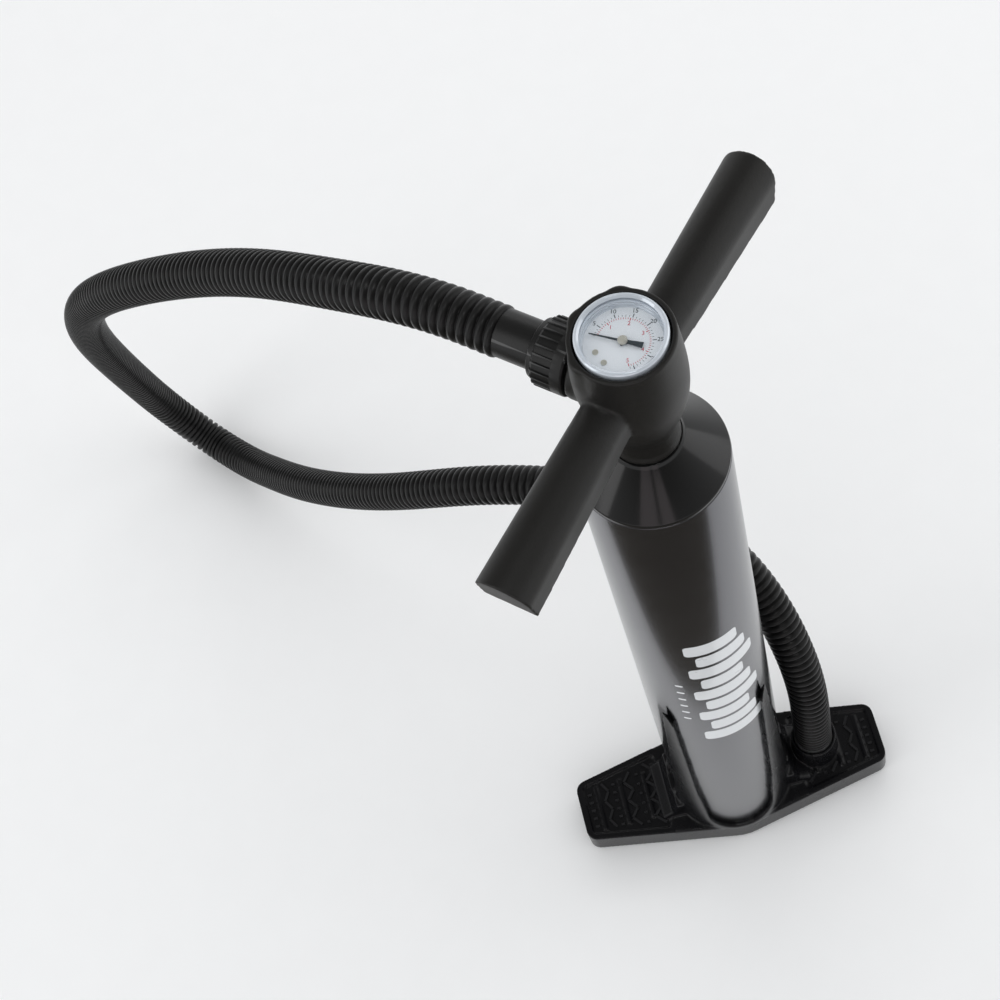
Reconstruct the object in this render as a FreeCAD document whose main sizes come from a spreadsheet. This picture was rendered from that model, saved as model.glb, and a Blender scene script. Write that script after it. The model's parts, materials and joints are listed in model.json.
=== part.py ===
"""Stand-up hand pump on a foot plate, with a pressure gauge in its T-handle and a corrugated hose.

Millimetres, +Z up. The origin is on the floor, at the barrel's axis. The foot plate's wings lie
along X. The handle's pieces are drawn with the grips along X and the hose port along +Y, and are
then turned about Z by handle_turn.
"""
import FreeCAD, Part
import math
import os
import re
import Sketcher
from FreeCAD import Placement, Rotation, Vector

SIZES = {
    # barrel and cap
    "barrel_radius": 40.0,
    "barrel_wall": 2.0,
    "barrel_base": 10.0,
    "barrel_top": 522.0,
    "cap_top": 547.0,
    "cap_neck": 18.2,
    "skirt_base": 496.0,
    "boss_base": 508.0,
    "bushing_radius": 13.5,
    "seal_cord": 1.45,
    "slide_gap": 0.05,
    # foot plate
    "plate_half_length": 111.0,
    "plate_half_width": 42.5,
    "plate_end_half_width": 21.5,
    "plate_corner": 8.0,
    "plate_middle_round": 40.0,
    "plate_base": 3.0,
    "plate_top": 24.3,
    "plate_wall": 3.0,
    "tread_depth": 1.6,
    "tread_inner": 50.0,
    "rim_width": 4.5,
    "rib_pitch": 18.0,
    "rib_width": 2.4,
    "collar_radius": 43.0,
    "collar_top": 250.0,
    "window_base": 29.0,
    "window_foot": 22.0,
    "window_half": 28.5,
    "valley_base": 40.0,
    "screw_circle": 28.0,
    # parking cup for the hose end
    "cup_across": 64.0,
    "cup_back": 2.0,
    "cup_radius": 16.0,
    "cup_bore": 13.9,
    "cup_floor": 8.0,
    "cup_top": 47.0,
    # piston and rod
    "rod_radius": 10.0,
    "rod_bore": 7.0,
    "rod_step": 8.5,
    "rod_base": 25.0,
    "rod_top": 588.0,
    "piston_base": 28.8,
    "piston_face": 32.0,
    "piston_shoulder": 46.0,
    "piston_radius": 37.6,
    "groove_radius": 32.0,
    "port_circle": 20.0,
    "bumper_top": 56.0,
    # handle, hub and gauge
    "handle_turn": 47.7,
    "handle_height": 608.0,
    "handle_reach": 122.0,
    "handle_droop": 2.2,
    "grip_root_radius": 12.0,
    "grip_end_radius": 14.2,
    "grip_foot": 0.945,
    "grip_end_lean": 9.6,
    "grip_post_radius": 3.4,
    "grip_screw_radius": 1.25,
    "hub_base": 547.3,
    "hub_foot_radius": 17.6,
    "hub_neck_radius": 16.8,
    "hub_neck_top": 562.0,
    "gland_base": 569.0,
    "gland_radius": 12.1,
    "gland_height": 2.2,
    "hub_top": 640.0,
    "hub_radius": 26.9,
    "chamber_radius": 16.0,
    "chamber_base": 580.0,
    "chamber_top": 614.0,
    "gauge_radius": 21.8,
    "gauge_top": 642.0,
    "case_radius": 20.1,
    "dial_height": 633.4,
    "needle_turn": 147.0,
    "needle_reach": 16.2,
    "needle_tail": 9.6,
    "dial_screw_circle": 13.2,
    "bourdon_radius": 13.5,
    "bourdon_tube": 1.5,
    # hose and its fittings
    "port_height": 596.0,
    "port_face": 27.6,
    "port_end": 42.0,
    "thread_radius": 13.4,
    "nut_base": 28.7,
    "nut_end": 50.0,
    "cuff_radius": 12.3,
    "cuff_end": 70.0,
    "hose_radius": 13.35,
    "hose_wall": 1.1,
    "hose_end": 50.0,
}

doc = FreeCAD.newDocument("hand_pump")
sheet = doc.addObject("Spreadsheet::Sheet", "Sizes")
for row, (alias, number) in enumerate(SIZES.items(), start=1):
    sheet.set(f"A{row}", alias.replace("_", " "))
    sheet.set(f"B{row}", str(number))
    sheet.setAlias(f"B{row}", alias)
doc.recompute()

SCREWS = 4
PISTON_PORTS = 6
BUSHING_FLUTES = 6
TREAD_RIBS = 3


# ---------------------------------------------------------------- drawing helpers

def formula(text):
    """A size written with the sheet's aliases, as an expression that FreeCAD can follow."""
    return re.sub(r"\b[a-z_]+\b(?!\()", lambda word: "Sizes." + word.group(), str(text))


def size(text):
    """The number that such a size stands for now."""
    return float(sheet.evalExpression(formula(text)))


def new_body(label):
    body = doc.addObject("PartDesign::Body", label)
    body.AllowCompound = True
    return body


def new_sketch(body, name, role, height=0):
    """A sketch on one of the body's own origin planes, raised from it by height."""
    plane = next(item for item in body.Origin.OriginFeatures if item.Role == role)
    sketch = body.newObject("Sketcher::SketchObject", f"{body.Label}_{name}")
    sketch.AttachmentSupport = [(plane, "")]
    sketch.MapMode = "FlatFace"
    sketch.setExpression("AttachmentOffset.Base.z", formula(height))
    return sketch


def hold(sketch, kind, text, *places):
    """Adds one dimension to a sketch and ties it to the sheet."""
    index = sketch.addConstraint(Sketcher.Constraint(kind, *places, size(text)))
    sketch.setExpression(f"Constraints[{index}]", formula(text))


def outline(sketch, points, rounds=None):
    """A closed outline of straight sides through the points; rounds gives a corner its radius."""
    places = [Vector(size(across), size(up), 0) for across, up in points]
    first = sketch.GeometryCount
    count = len(points)
    for index, place in enumerate(places):
        sketch.addGeometry(Part.LineSegment(place, places[(index + 1) % count]))
    for index, (across, up) in enumerate(points):
        side = first + index
        following = first + (index + 1) % count
        sketch.addConstraint(Sketcher.Constraint("Coincident", side, 2, following, 1))
        hold(sketch, "DistanceX", across, -1, 1, side, 1)
        hold(sketch, "DistanceY", up, -1, 1, side, 1)
    for corner, radius in (rounds or {}).items():
        arc = sketch.GeometryCount
        sketch.fillet(first + corner, 1, size(radius), True, True)
        hold(sketch, "Radius", radius, arc)


def circles(sketch, centres, radius):
    for across, up in centres:
        index = sketch.GeometryCount
        middle = Vector(size(across), size(up), 0)
        sketch.addGeometry(Part.Circle(middle, Vector(0, 0, 1), size(radius)))
        hold(sketch, "DistanceX", across, -1, 1, index, 3)
        hold(sketch, "DistanceY", up, -1, 1, index, 3)
        hold(sketch, "Radius", radius, index)


def ring_of(count, radius, start=0):
    """Evenly spaced centres on a circle about the origin."""
    angles = [start + step * 360 / count for step in range(count)]
    return [(f"{radius} * cos({angle})", f"{radius} * sin({angle})") for angle in angles]


def pad(body, sketch, length, symmetric=False):
    feature = body.newObject("PartDesign::Pad", "Pad")
    feature.Profile = sketch
    feature.SideType = "Symmetric" if symmetric else "One side"
    feature.setExpression("Length", formula(length))
    body.Tip = feature
    return feature


def cut(body, sketch, depth, symmetric=False, upwards=False):
    """A pocket that is checked to remove something."""
    doc.recompute()
    before = body.Shape.Volume
    feature = body.newObject("PartDesign::Pocket", "Pocket")
    feature.Profile = sketch
    feature.SideType = "Symmetric" if symmetric else "One side"
    feature.Reversed = upwards
    feature.setExpression("Length", formula(depth))
    body.Tip = feature
    doc.recompute()
    if not body.Shape.Volume < before:
        raise ValueError(f"the pocket {sketch.Name} removes nothing")
    return feature


def disc_pad(body, name, centres, radius, base, top):
    sketch = new_sketch(body, name, "XY_Plane", base)
    circles(sketch, centres, radius)
    return pad(body, sketch, f"{top} - ({base})")


def disc_cut(body, name, centres, radius, base, top):
    """Round holes that start at base and run up to top."""
    sketch = new_sketch(body, name, "XY_Plane", base)
    circles(sketch, centres, radius)
    return cut(body, sketch, f"{top} - ({base})", upwards=True)


def turned(label, points, rounds=None):
    """A body turned about Z, from an outline of (radius, height) points."""
    body = new_body(label)
    sketch = new_sketch(body, "profile", "XZ_Plane")
    outline(sketch, points, rounds)
    feature = body.newObject("PartDesign::Revolution", "Turn")
    feature.Profile = sketch
    feature.ReferenceAxis = (sketch, ["V_Axis"])
    feature.Angle = 360
    body.Tip = feature
    return body


def ring(label, inner, outer, base, top):
    """A plain round ring or washer about Z."""
    return turned(label, [(inner, base), (outer, base), (outer, top), (inner, top)])


def cord_ring(label, radius, cord, height):
    """A round-section sealing ring."""
    torus = doc.addObject("Part::Torus", label)
    torus.setExpression("Radius1", formula(radius))
    torus.setExpression("Radius2", formula(cord))
    torus.setExpression("Placement.Base.z", formula(height))
    return torus


def with_handle(piece):
    """Turns a piece of the handle to the handle's place above the foot plate."""
    piece.Placement = Placement(Vector(), Rotation(Vector(0, 0, 1), size("handle_turn")))
    return piece


def on_port(piece):
    """Lays a piece drawn about Z along the hose port, with its own origin on the pump's axis."""
    lay_down = Rotation(Vector(1, 0, 0), -90)
    turn = Rotation(Vector(0, 0, 1), size("handle_turn"))
    piece.Placement = Placement(Vector(0, 0, size("port_height")), turn * lay_down)
    return piece


# ---------------------------------------------------------------- foot plate and barrel

def plate_outline(sketch, inset):
    """The long six-sided outline that the foot plate and its pad share."""
    end = f"plate_half_length - {inset}"
    half_end = f"plate_end_half_width - {inset}"
    middle = f"plate_half_width - {inset}"
    points = [
        (f"-({end})", f"-({half_end})"),
        (0, f"-({middle})"),
        (end, f"-({half_end})"),
        (end, half_end),
        (0, middle),
        (f"-({end})", half_end),
    ]
    corner = f"plate_corner - {inset}"
    rounds = {place: corner for place in (0, 2, 3, 5)}
    rounds[1] = "plate_middle_round"
    rounds[4] = "plate_middle_round"
    outline(sketch, points, rounds)


def wing_panel(sketch, side, inner, margin, corner):
    """A panel on one wing, kept a margin inside the plate's edge."""
    slope = "(plate_half_width - plate_end_half_width) / plate_half_length"
    outer = f"plate_half_length - {margin}"
    half_inner = f"plate_half_width - ({inner}) * {slope} - {margin}"
    half_outer = f"plate_end_half_width + ({margin}) * {slope} - {margin}"
    points = [
        (f"{side} * ({inner})", f"-({half_inner})"),
        (f"{side} * ({outer})", f"-({half_outer})"),
        (f"{side} * ({outer})", half_outer),
        (f"{side} * ({inner})", half_inner),
    ]
    outline(sketch, points, {place: corner for place in range(4)})


def foot_plate():
    """Two-winged moulding: treads, four prongs that hold the barrel, and the hose's parking cup."""
    body = new_body("foot_plate")
    sketch = new_sketch(body, "plate", "XY_Plane", "plate_base")
    plate_outline(sketch, 0)
    pad(body, sketch, "plate_top - plate_base")

    for side, name in ((-1, "left"), (1, "right")):
        sketch = new_sketch(body, f"{name}_hollow", "XY_Plane", "plate_base")
        wing_panel(sketch, side, "collar_radius + plate_wall", "plate_wall", 4)
        cut(body, sketch, "plate_top - plate_base - tread_depth - 2.4", upwards=True)
        sketch = new_sketch(body, f"{name}_tread", "XY_Plane", "plate_top")
        wing_panel(sketch, side, "tread_inner", "rim_width", 3)
        cut(body, sketch, "tread_depth")
        sketch = new_sketch(body, f"{name}_ribs", "XY_Plane", "plate_top - tread_depth")
        for number in range(TREAD_RIBS):
            across = f"{side} * (plate_half_length - 14 - {number} * rib_pitch)"
            tread_rib(sketch, across)
        pad(body, sketch, "tread_depth - 0.4")

    sketch = new_sketch(body, "spine_ribs", "XY_Plane", "plate_base")
    outline(sketch, [
        ("-plate_half_length + 2", "-rib_width / 2"),
        ("plate_half_length - 2", "-rib_width / 2"),
        ("plate_half_length - 2", "rib_width / 2"),
        ("-plate_half_length + 2", "rib_width / 2"),
    ])
    pad(body, sketch, "plate_top - plate_base - tread_depth")

    disc_pad(body, "collar", [(0, 0)], "collar_radius", "plate_top - 1", "collar_top")
    sketch = new_sketch(body, "collar_foot", "XZ_Plane")
    collar_foot(sketch)
    pad(body, sketch, 42, symmetric=True)
    sketch = new_sketch(body, "window", "XZ_Plane")
    window(sketch)
    cut(body, sketch, "4 * barrel_radius", symmetric=True)
    sketch = new_sketch(body, "valley", "YZ_Plane")
    valley(sketch)
    cut(body, sketch, "4 * barrel_radius", symmetric=True)

    cup = [("cup_across", "cup_back")]
    disc_pad(body, "cup", cup, "cup_radius", "plate_base", "cup_top")
    disc_cut(body, "cup_bore", cup, "cup_bore", "cup_floor", "cup_top + 1")
    disc_cut(body, "bore", [(0, 0)], "barrel_radius + 2 * slide_gap", "barrel_base", "collar_top + 1")
    heads = ring_of(SCREWS, "screw_circle", 45)
    disc_cut(body, "screw_heads", heads, 4.6, "plate_base", "plate_base + 3.5")
    disc_cut(body, "screw_holes", heads, 2.8, "plate_base + 3", "barrel_base + 1")


def tread_rib(sketch, across):
    """One straight rib across a tread."""
    half = "(plate_end_half_width - rim_width)"
    outline(sketch, [
        (f"{across} - rib_width / 2", f"-{half}"),
        (f"{across} + rib_width / 2", f"-{half}"),
        (f"{across} + rib_width / 2", half),
        (f"{across} - rib_width / 2", half),
    ])


def collar_foot(sketch):
    """The flare where the collar grows out of the wings."""
    outline(sketch, [
        ("-collar_radius - 12", "plate_top - 2"),
        ("collar_radius + 12", "plate_top - 2"),
        ("collar_radius + 12", "plate_top"),
        ("collar_radius + 4", "plate_top + 5"),
        ("collar_radius", "plate_top + 18"),
        ("-collar_radius", "plate_top + 18"),
        ("-collar_radius - 4", "plate_top + 5"),
        ("-collar_radius - 12", "plate_top"),
    ])


def window(sketch):
    """The tall opening at the front and back that bares the barrel between two prongs."""
    outline(sketch, [
        ("-window_foot", "window_base"),
        ("window_foot", "window_base"),
        ("window_half - 2", 100),
        ("window_half", "collar_top - 20"),
        ("window_half + 4", "collar_top + 1"),
        ("-window_half - 4", "collar_top + 1"),
        ("-window_half", "collar_top - 20"),
        ("-window_half + 2", 100),
    ], {0: 18, 1: 18})


def valley(sketch):
    """The deep notch over each wing, between a front prong and a back prong."""
    outline(sketch, [
        (-11, "valley_base"),
        (11, "valley_base"),
        (19, 100),
        (24, 185),
        (27.5, "collar_top + 1"),
        (-27.5, "collar_top + 1"),
        (-24, 185),
        (-19, 100),
    ], {0: 8, 1: 8})


def base_pad():
    """Rubber pad bonded under the foot plate."""
    body = new_body("base_pad")
    sketch = new_sketch(body, "pad", "XY_Plane")
    plate_outline(sketch, 1.5)
    pad(body, sketch, "plate_base")


def barrel():
    ring("barrel", "barrel_radius - barrel_wall", "barrel_radius", "barrel_base", "barrel_top")


def barrel_plug():
    """Closes the barrel's lower end and holds it to the foot plate."""
    inner = "barrel_radius - barrel_wall - slide_gap"
    bottom = "barrel_base + 5.9"
    body = turned("barrel_plug", [
        (0, "barrel_base"),
        (inner, "barrel_base"),
        (inner, bottom),
        (f"{inner} - 2 * seal_cord - 0.05", bottom),
        (f"{inner} - 2 * seal_cord - 0.05", f"{bottom} + 3.2"),
        (inner, f"{bottom} + 3.2"),
        (inner, "barrel_base + 12"),
        (f"{inner} - 2", "barrel_base + 14"),
        (0, "barrel_base + 14"),
    ])
    disc_cut(body, "threads", ring_of(SCREWS, "screw_circle", 45), 2.05, "barrel_base", "barrel_base + 11")
    cord_ring("plug_o_ring", f"{inner} - seal_cord - 0.02", "seal_cord", f"{bottom} + 1.6")


def plug_screws():
    """Four screws from under the foot plate into the barrel's plug."""
    body = new_body("plug_screws")
    places = ring_of(SCREWS, "screw_circle", 45)
    disc_pad(body, "heads", places, 4.2, "plate_base + 0.2", "plate_base + 3.5")
    disc_pad(body, "shanks", places, 2.0, "plate_base + 3", "barrel_base + 9.5")


def top_cap():
    """Cone that closes the barrel's upper end and carries the rod's bushing."""
    skirt = "barrel_radius - barrel_wall - slide_gap"
    groove = f"{skirt} - 2 * seal_cord - 0.05"
    turned("top_cap", [
        ("bushing_radius", "boss_base"),
        ("bushing_radius + 5", "boss_base"),
        ("bushing_radius + 5", "cap_top - 8"),
        (f"{skirt} - 6", "barrel_top - 1"),
        (f"{skirt} - 6", "skirt_base"),
        (skirt, "skirt_base"),
        (skirt, "skirt_base + 10"),
        (groove, "skirt_base + 10"),
        (groove, "skirt_base + 13.2"),
        (skirt, "skirt_base + 13.2"),
        (skirt, "barrel_top"),
        ("barrel_radius - 0.2", "barrel_top"),
        ("barrel_radius - 0.2", "barrel_top + 2.5"),
        ("cap_neck + 1.2", "cap_top - 1.6"),
        ("cap_neck", "cap_top"),
        ("bushing_radius", "cap_top"),
    ], {12: 1.2, 13: 3})
    cord_ring("cap_o_ring", f"{skirt} - seal_cord - 0.02", "seal_cord", "skirt_base + 11.6")


def rod_bushing():
    """Guides the rod; its flutes let air into the barrel round the rod."""
    bore = "rod_radius + slide_gap"
    body = ring("rod_bushing", bore, "bushing_radius", "boss_base", "cap_top - 0.5")
    flutes = ring_of(BUSHING_FLUTES, "(rod_radius + 0.8)")
    disc_cut(body, "flutes", flutes, 1.3, "boss_base - 1", "cap_top + 1")


# ---------------------------------------------------------------- piston and rod

def piston_rod():
    """Tube that drives the piston down and carries the air up to the handle."""
    turned("piston_rod", [
        (4.5, "rod_base"),
        ("rod_step", "rod_base"),
        ("rod_step", "piston_shoulder"),
        ("rod_radius", "piston_shoulder"),
        ("rod_radius", "rod_top"),
        ("rod_bore", "rod_top"),
        ("rod_bore", "rod_base + 5"),
        (4.5, "rod_base + 4"),
    ])


def piston():
    """Piston in two pressed plates with the cup seal's groove between them, and its nut."""
    bore = "rod_step + slide_gap"
    ports = ring_of(PISTON_PORTS, "port_circle")
    body = turned("piston_body", [
        (bore, "piston_base"),
        (11, "piston_base"),
        (11, "piston_face"),
        ("piston_radius", "piston_face"),
        ("piston_radius", "piston_face + 4"),
        ("groove_radius", "piston_face + 4"),
        ("groove_radius", "piston_shoulder - 3"),
        (bore, "piston_shoulder - 3"),
    ])
    disc_cut(body, "ports", ports, 3, "piston_base", "piston_shoulder")
    body = ring("piston_retainer", bore, "piston_radius - 0.4", "piston_shoulder - 3", "piston_shoulder")
    disc_cut(body, "ports", ports, 3, "piston_base", "piston_shoulder + 1")
    ring("flap_stop", bore, 18, "rod_base + 3", "piston_base")
    hex_nut("piston_nut", bore, 13, "rod_base", "rod_base + 3")
    turned("piston_seal", [
        ("groove_radius + 0.1", "piston_face + 4.1"),
        ("groove_radius + 4.5", "piston_face + 4.1"),
        ("barrel_radius - barrel_wall - slide_gap", "piston_face + 4.6"),
        ("barrel_radius - barrel_wall - slide_gap", "piston_shoulder - 3.1"),
        ("groove_radius + 0.1", "piston_shoulder - 3.1"),
    ])
    ring("stop_bumper", "rod_radius + 0.1", 18.5, "piston_shoulder + 0.1", "bumper_top")


def hex_nut(label, bore, corner, base, top):
    """Six-sided nut; corner is the distance from the axis to a corner."""
    body = new_body(label)
    sketch = new_sketch(body, "hexagon", "XY_Plane", base)
    outline(sketch, ring_of(6, f"({corner})"))
    circles(sketch, [(0, 0)], bore)
    pad(body, sketch, f"{top} - ({base})")
    return body


def valves():
    """Intake flap under the piston's ports, and the outlet poppet in the rod's lower end."""
    ring("intake_flap", 11.2, 27, "piston_face - 1.6", "piston_face - 0.1")
    seat = "rod_base + 5.1"
    turned("outlet_poppet", [
        (0, seat),
        (5.9, seat),
        (5.9, f"{seat} + 2"),
        (2, f"{seat} + 2"),
        (2, f"{seat} + 15"),
        (0, f"{seat} + 15"),
    ])
    ring("valve_guide", 2.1, "rod_bore - slide_gap", "rod_base + 24", "rod_base + 28")
    spring_between("outlet_spring", 4.4, 0.45, f"{seat} + 2.6", "rod_base + 23.4", 5)


def spring_between(label, radius, wire, base, top, turns):
    """Open coil spring about Z: a round wire swept along a helix."""
    height = size(top) - size(base)
    coil = Part.makeHelix(height / turns, height, size(radius))
    start = coil.Edges[0].valueAt(coil.Edges[0].FirstParameter)
    heading = coil.Edges[0].tangentAt(coil.Edges[0].FirstParameter)
    section = Part.Wire([Part.makeCircle(size(wire), start, heading)])
    spring = doc.addObject("Part::Feature", label)
    spring.Shape = Part.Wire(coil.Edges).makePipeShell([section], True, True)
    spring.Placement = Placement(Vector(0, 0, size(base)), Rotation())


# ---------------------------------------------------------------- handle, hub and gauge

def handle_housing():
    """Hub and both grips in one moulding, hollow for the air, the gauge and the grip covers."""
    body = turned("handle_housing", [
        ("rod_radius + slide_gap", "hub_base"),
        ("hub_foot_radius", "hub_base"),
        ("hub_foot_radius", "hub_base + 1.8"),
        ("hub_neck_radius", "hub_base + 3.6"),
        ("hub_neck_radius", "hub_neck_top"),
        ("hub_neck_radius + 4.4", "hub_neck_top + 13"),
        ("hub_radius - 1.7", "hub_neck_top + 28"),
        ("hub_radius", "hub_neck_top + 45"),
        ("hub_radius - 0.4", "hub_top - 17"),
        ("hub_radius - 1.6", "hub_top"),
        ("gauge_radius + 1", "hub_top"),
        ("gauge_radius + 1", "dial_height + 1"),
        ("case_radius + 0.1", "dial_height + 1"),
        ("case_radius + 0.1", "chamber_top"),
        ("chamber_radius", "chamber_top"),
        ("chamber_radius", "chamber_base"),
        ("rod_radius + slide_gap", "chamber_base"),
        ("rod_radius + slide_gap", "gland_base + gland_height"),
        ("gland_radius", "gland_base + gland_height"),
        ("gland_radius", "gland_base"),
        ("rod_radius + slide_gap", "gland_base"),
    ], {4: 14, 6: 30, 9: 1})
    for side, name in ((-1, "left"), (1, "right")):
        grip(body, side, name)
    port_boss(body)
    for side, name in ((-1, "left"), (1, "right")):
        grip_hollow(body, side, name)
    with_handle(body)
    cord_ring("rod_o_ring", "rod_radius + slide_gap + 1", 0.95, "gland_base + gland_height / 2")
    with_handle(hex_nut("rod_nut", "rod_radius + slide_gap", 14.5, "chamber_base", "chamber_base + 6"))


def grip_section(sketch, radius):
    """Arch-shaped cross-section of a grip: round on top, straight sides and a flat underside."""
    reach = size(radius)
    foot = f"{radius} * grip_foot"
    corners = [
        Vector(reach, 0, 0),
        Vector(reach, -size(foot), 0),
        Vector(-reach, -size(foot), 0),
        Vector(-reach, 0, 0),
    ]
    sketch.addGeometry(Part.ArcOfCircle(Part.Circle(Vector(), Vector(0, 0, 1), reach), 0, math.pi))
    for begin, end in zip(corners, corners[1:]):
        sketch.addGeometry(Part.LineSegment(begin, end))
    for joint in ((0, 1, 1, 1), (1, 2, 2, 1), (2, 2, 3, 1), (3, 2, 0, 2), (0, 3, -1, 1)):
        sketch.addConstraint(Sketcher.Constraint("Coincident", *joint))
    for side in (1, 3):
        sketch.addConstraint(Sketcher.Constraint("Vertical", side))
    sketch.addConstraint(Sketcher.Constraint("Horizontal", 2))
    sketch.addConstraint(Sketcher.Constraint("PointOnObject", 0, 1, -1))
    hold(sketch, "Radius", radius, 0)
    hold(sketch, "DistanceY", f"-({foot})", -1, 1, 1, 2)


def grip(body, side, name):
    """One grip, lofted outwards from inside the hub; its end face leans out at the top."""
    sections = []
    for place, along, radius, lean in (
        ("root", "hub_radius - 8", "grip_root_radius - 0.2", 0),
        ("end", "handle_reach", "grip_end_radius", "grip_end_lean"),
    ):
        sketch = new_sketch(body, f"{name}_{place}", "YZ_Plane", f"{side} * ({along})")
        height = f"handle_height - ({along}) * tan(handle_droop)"
        sketch.setExpression("AttachmentOffset.Base.y", formula(height))
        sketch.AttachmentOffset = Placement(
            Vector(0, size(height), side * size(along)),
            Rotation(Vector(1, 0, 0), side * size(lean)),
        )
        grip_section(sketch, radius)
        sections.append(sketch)
    loft = body.newObject("PartDesign::AdditiveLoft", "Grip")
    loft.Profile = sections[0]
    loft.Sections = [sections[1]]
    loft.Ruled = True
    body.Tip = loft
    doc.recompute()


def port_boss(body):
    """Round boss and threaded spigot that the hose's union nut screws onto."""
    for name, radius, near, far in (
        ("boss", 17.4, "chamber_radius + 4", "port_face"),
        ("spigot", "thread_radius", "port_face - 1", "port_end"),
    ):
        sketch = new_sketch(body, name, "XZ_Plane", f"-({near})")
        circles(sketch, [(0, "port_height")], radius)
        feature = pad(body, sketch, f"{far} - ({near})")
        feature.Reversed = True
    sketch = new_sketch(body, "port_bore", "XZ_Plane", "-port_end - 1")
    circles(sketch, [(0, "port_height")], 8.5)
    cut(body, sketch, "port_end - chamber_radius + 5", upwards=True)
    gauge_well = new_sketch(body, "gauge_well", "XY_Plane", "chamber_top")
    circles(gauge_well, [(0, 0)], "case_radius + 0.1")
    cut(body, gauge_well, "hub_top - chamber_top", upwards=True)


def underside(along):
    """Height of a grip's flat underside at a distance along it."""
    return f"(handle_height - ({along}) * tan(handle_droop)" \
        f" - (grip_root_radius + (({along}) - 28) * 0.0234) * grip_foot)"


GRIP_HOLLOW = (34, 110)
POST_PLACES = (42, 102)


def grip_hollow(body, side, name):
    """Coring of a grip from below, with two screw posts left for its cover."""
    inner, outer = GRIP_HOLLOW
    sketch = new_sketch(body, f"{name}_core", "XZ_Plane")
    outline(sketch, [
        (side * inner, f"{underside(inner)} - 2"),
        (side * outer, f"{underside(outer)} - 2"),
        (side * outer, f"{underside(outer)} + 19"),
        (side * inner, f"{underside(inner)} + 17"),
    ])
    cut(body, sketch, 16.4, symmetric=True)
    posts = [(side * place, 0) for place in POST_PLACES]
    disc_pad(body, f"{name}_posts", posts, "grip_post_radius", f"{underside(42)} + 3.2", "handle_height + 5")
    hole = "grip_screw_radius + slide_gap"
    disc_cut(body, f"{name}_post_holes", posts, hole, "handle_height - 20", "handle_height - 2")


def grip_cover(side, name):
    """Flush cover that closes the underside of one grip."""
    inner, outer = GRIP_HOLLOW
    body = new_body(f"grip_cover_{name}")
    sketch = new_sketch(body, "plate", "XZ_Plane")
    outline(sketch, [
        (side * (inner + 0.2), underside(inner)),
        (side * (outer - 0.2), underside(outer)),
        (side * (outer - 0.2), f"{underside(outer)} + 2.8"),
        (side * (inner + 0.2), f"{underside(inner)} + 2.8"),
    ])
    pad(body, sketch, 16, symmetric=True)
    posts = [(side * place, 0) for place in POST_PLACES]
    disc_cut(body, "holes", posts, "grip_screw_radius + 0.35", "handle_height - 30", "handle_height")
    for place in POST_PLACES:
        top = f"{underside(place)} + 1.5"
        disc_cut(body, f"sink_{place}", [(side * place, 0)], 2.7, "handle_height - 30", top)
    with_handle(body)


def grip_screws():
    """Four small screws that hold the grip covers."""
    body = new_body("grip_screws")
    for side in (-1, 1):
        for number, place in enumerate(POST_PLACES):
            centre = [(side * place, 0)]
            seat = f"{underside(place)} + 1.5"
            name = f"{'left' if side < 0 else 'right'}_{number}"
            disc_pad(body, f"head_{name}", centre, 2.4, f"{seat} - 1.4", f"{seat} - 0.02")
            disc_pad(body, f"shank_{name}", centre, "grip_screw_radius", f"{seat} - 0.5", f"{seat} + 8")
    with_handle(body)


def gauge():
    """Pressure gauge let into the top of the hub."""
    top = "gauge_top"
    ring("gauge_gasket", "chamber_radius + 0.2", "case_radius", "chamber_top", "chamber_top + 1.5")
    turned("gauge_case", [
        (3.1, "chamber_top + 1.5"),
        ("case_radius", "chamber_top + 1.5"),
        ("case_radius", "dial_height + 2"),
        ("case_radius - 0.9", "dial_height + 2"),
        ("case_radius - 0.9", "chamber_top + 2.7"),
        (3.1, "chamber_top + 2.7"),
    ])
    turned("gauge_stem", [
        (1, "chamber_top - 6"),
        (6.5, "chamber_top - 6"),
        (6.5, "chamber_top + 1.5"),
        (3, "chamber_top + 1.5"),
        (3, "chamber_top + 6"),
        (1, "chamber_top + 6"),
    ])
    bourdon = doc.addObject("Part::Torus", "bourdon_tube")
    bourdon.setExpression("Radius1", formula("bourdon_radius"))
    bourdon.setExpression("Radius2", formula("bourdon_tube"))
    bourdon.Angle3 = 250
    bourdon.Placement = Placement(Vector(0, 0, size("chamber_top + 9")), Rotation())
    gauge_movement()
    turned("gauge_dial", [
        (1.5, "dial_height"),
        ("case_radius - 1", "dial_height"),
        ("case_radius - 1", "dial_height + 0.6"),
        (1.5, "dial_height + 0.6"),
    ])
    body = new_body("dial_screws")
    places = ring_of(12, "dial_screw_circle", 185)[:2]
    disc_pad(body, "heads", places, 1.4, "dial_height + 0.6", "dial_height + 1.1")
    ring("gauge_lens", 0, "gauge_radius - 1.7", f"{top} - 3.4", f"{top} - 1.4")
    turned("gauge_bezel", [
        ("case_radius + 0.02", "dial_height + 1.2"),
        ("gauge_radius", "dial_height + 1.2"),
        ("gauge_radius", f"{top} - 0.8"),
        ("gauge_radius - 0.8", top),
        ("gauge_radius - 2.6", top),
        ("gauge_radius - 2.6", f"{top} - 1.4"),
        ("case_radius + 0.02", f"{top} - 1.4"),
    ])
    gauge_needle()


def gauge_movement():
    """Plate on three pillars that carries the needle's arbor."""
    body = new_body("gauge_movement")
    pillars = ring_of(3, 6.5, 30)
    disc_pad(body, "pillars", pillars, 1.2, "chamber_top + 2.7", "dial_height - 4")
    disc_pad(body, "plate", [(0, 0)], 8, "dial_height - 5", "dial_height - 3.6")
    disc_cut(body, "arbor_hole", [(0, 0)], 0.95, "dial_height - 6", "dial_height - 3")


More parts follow.
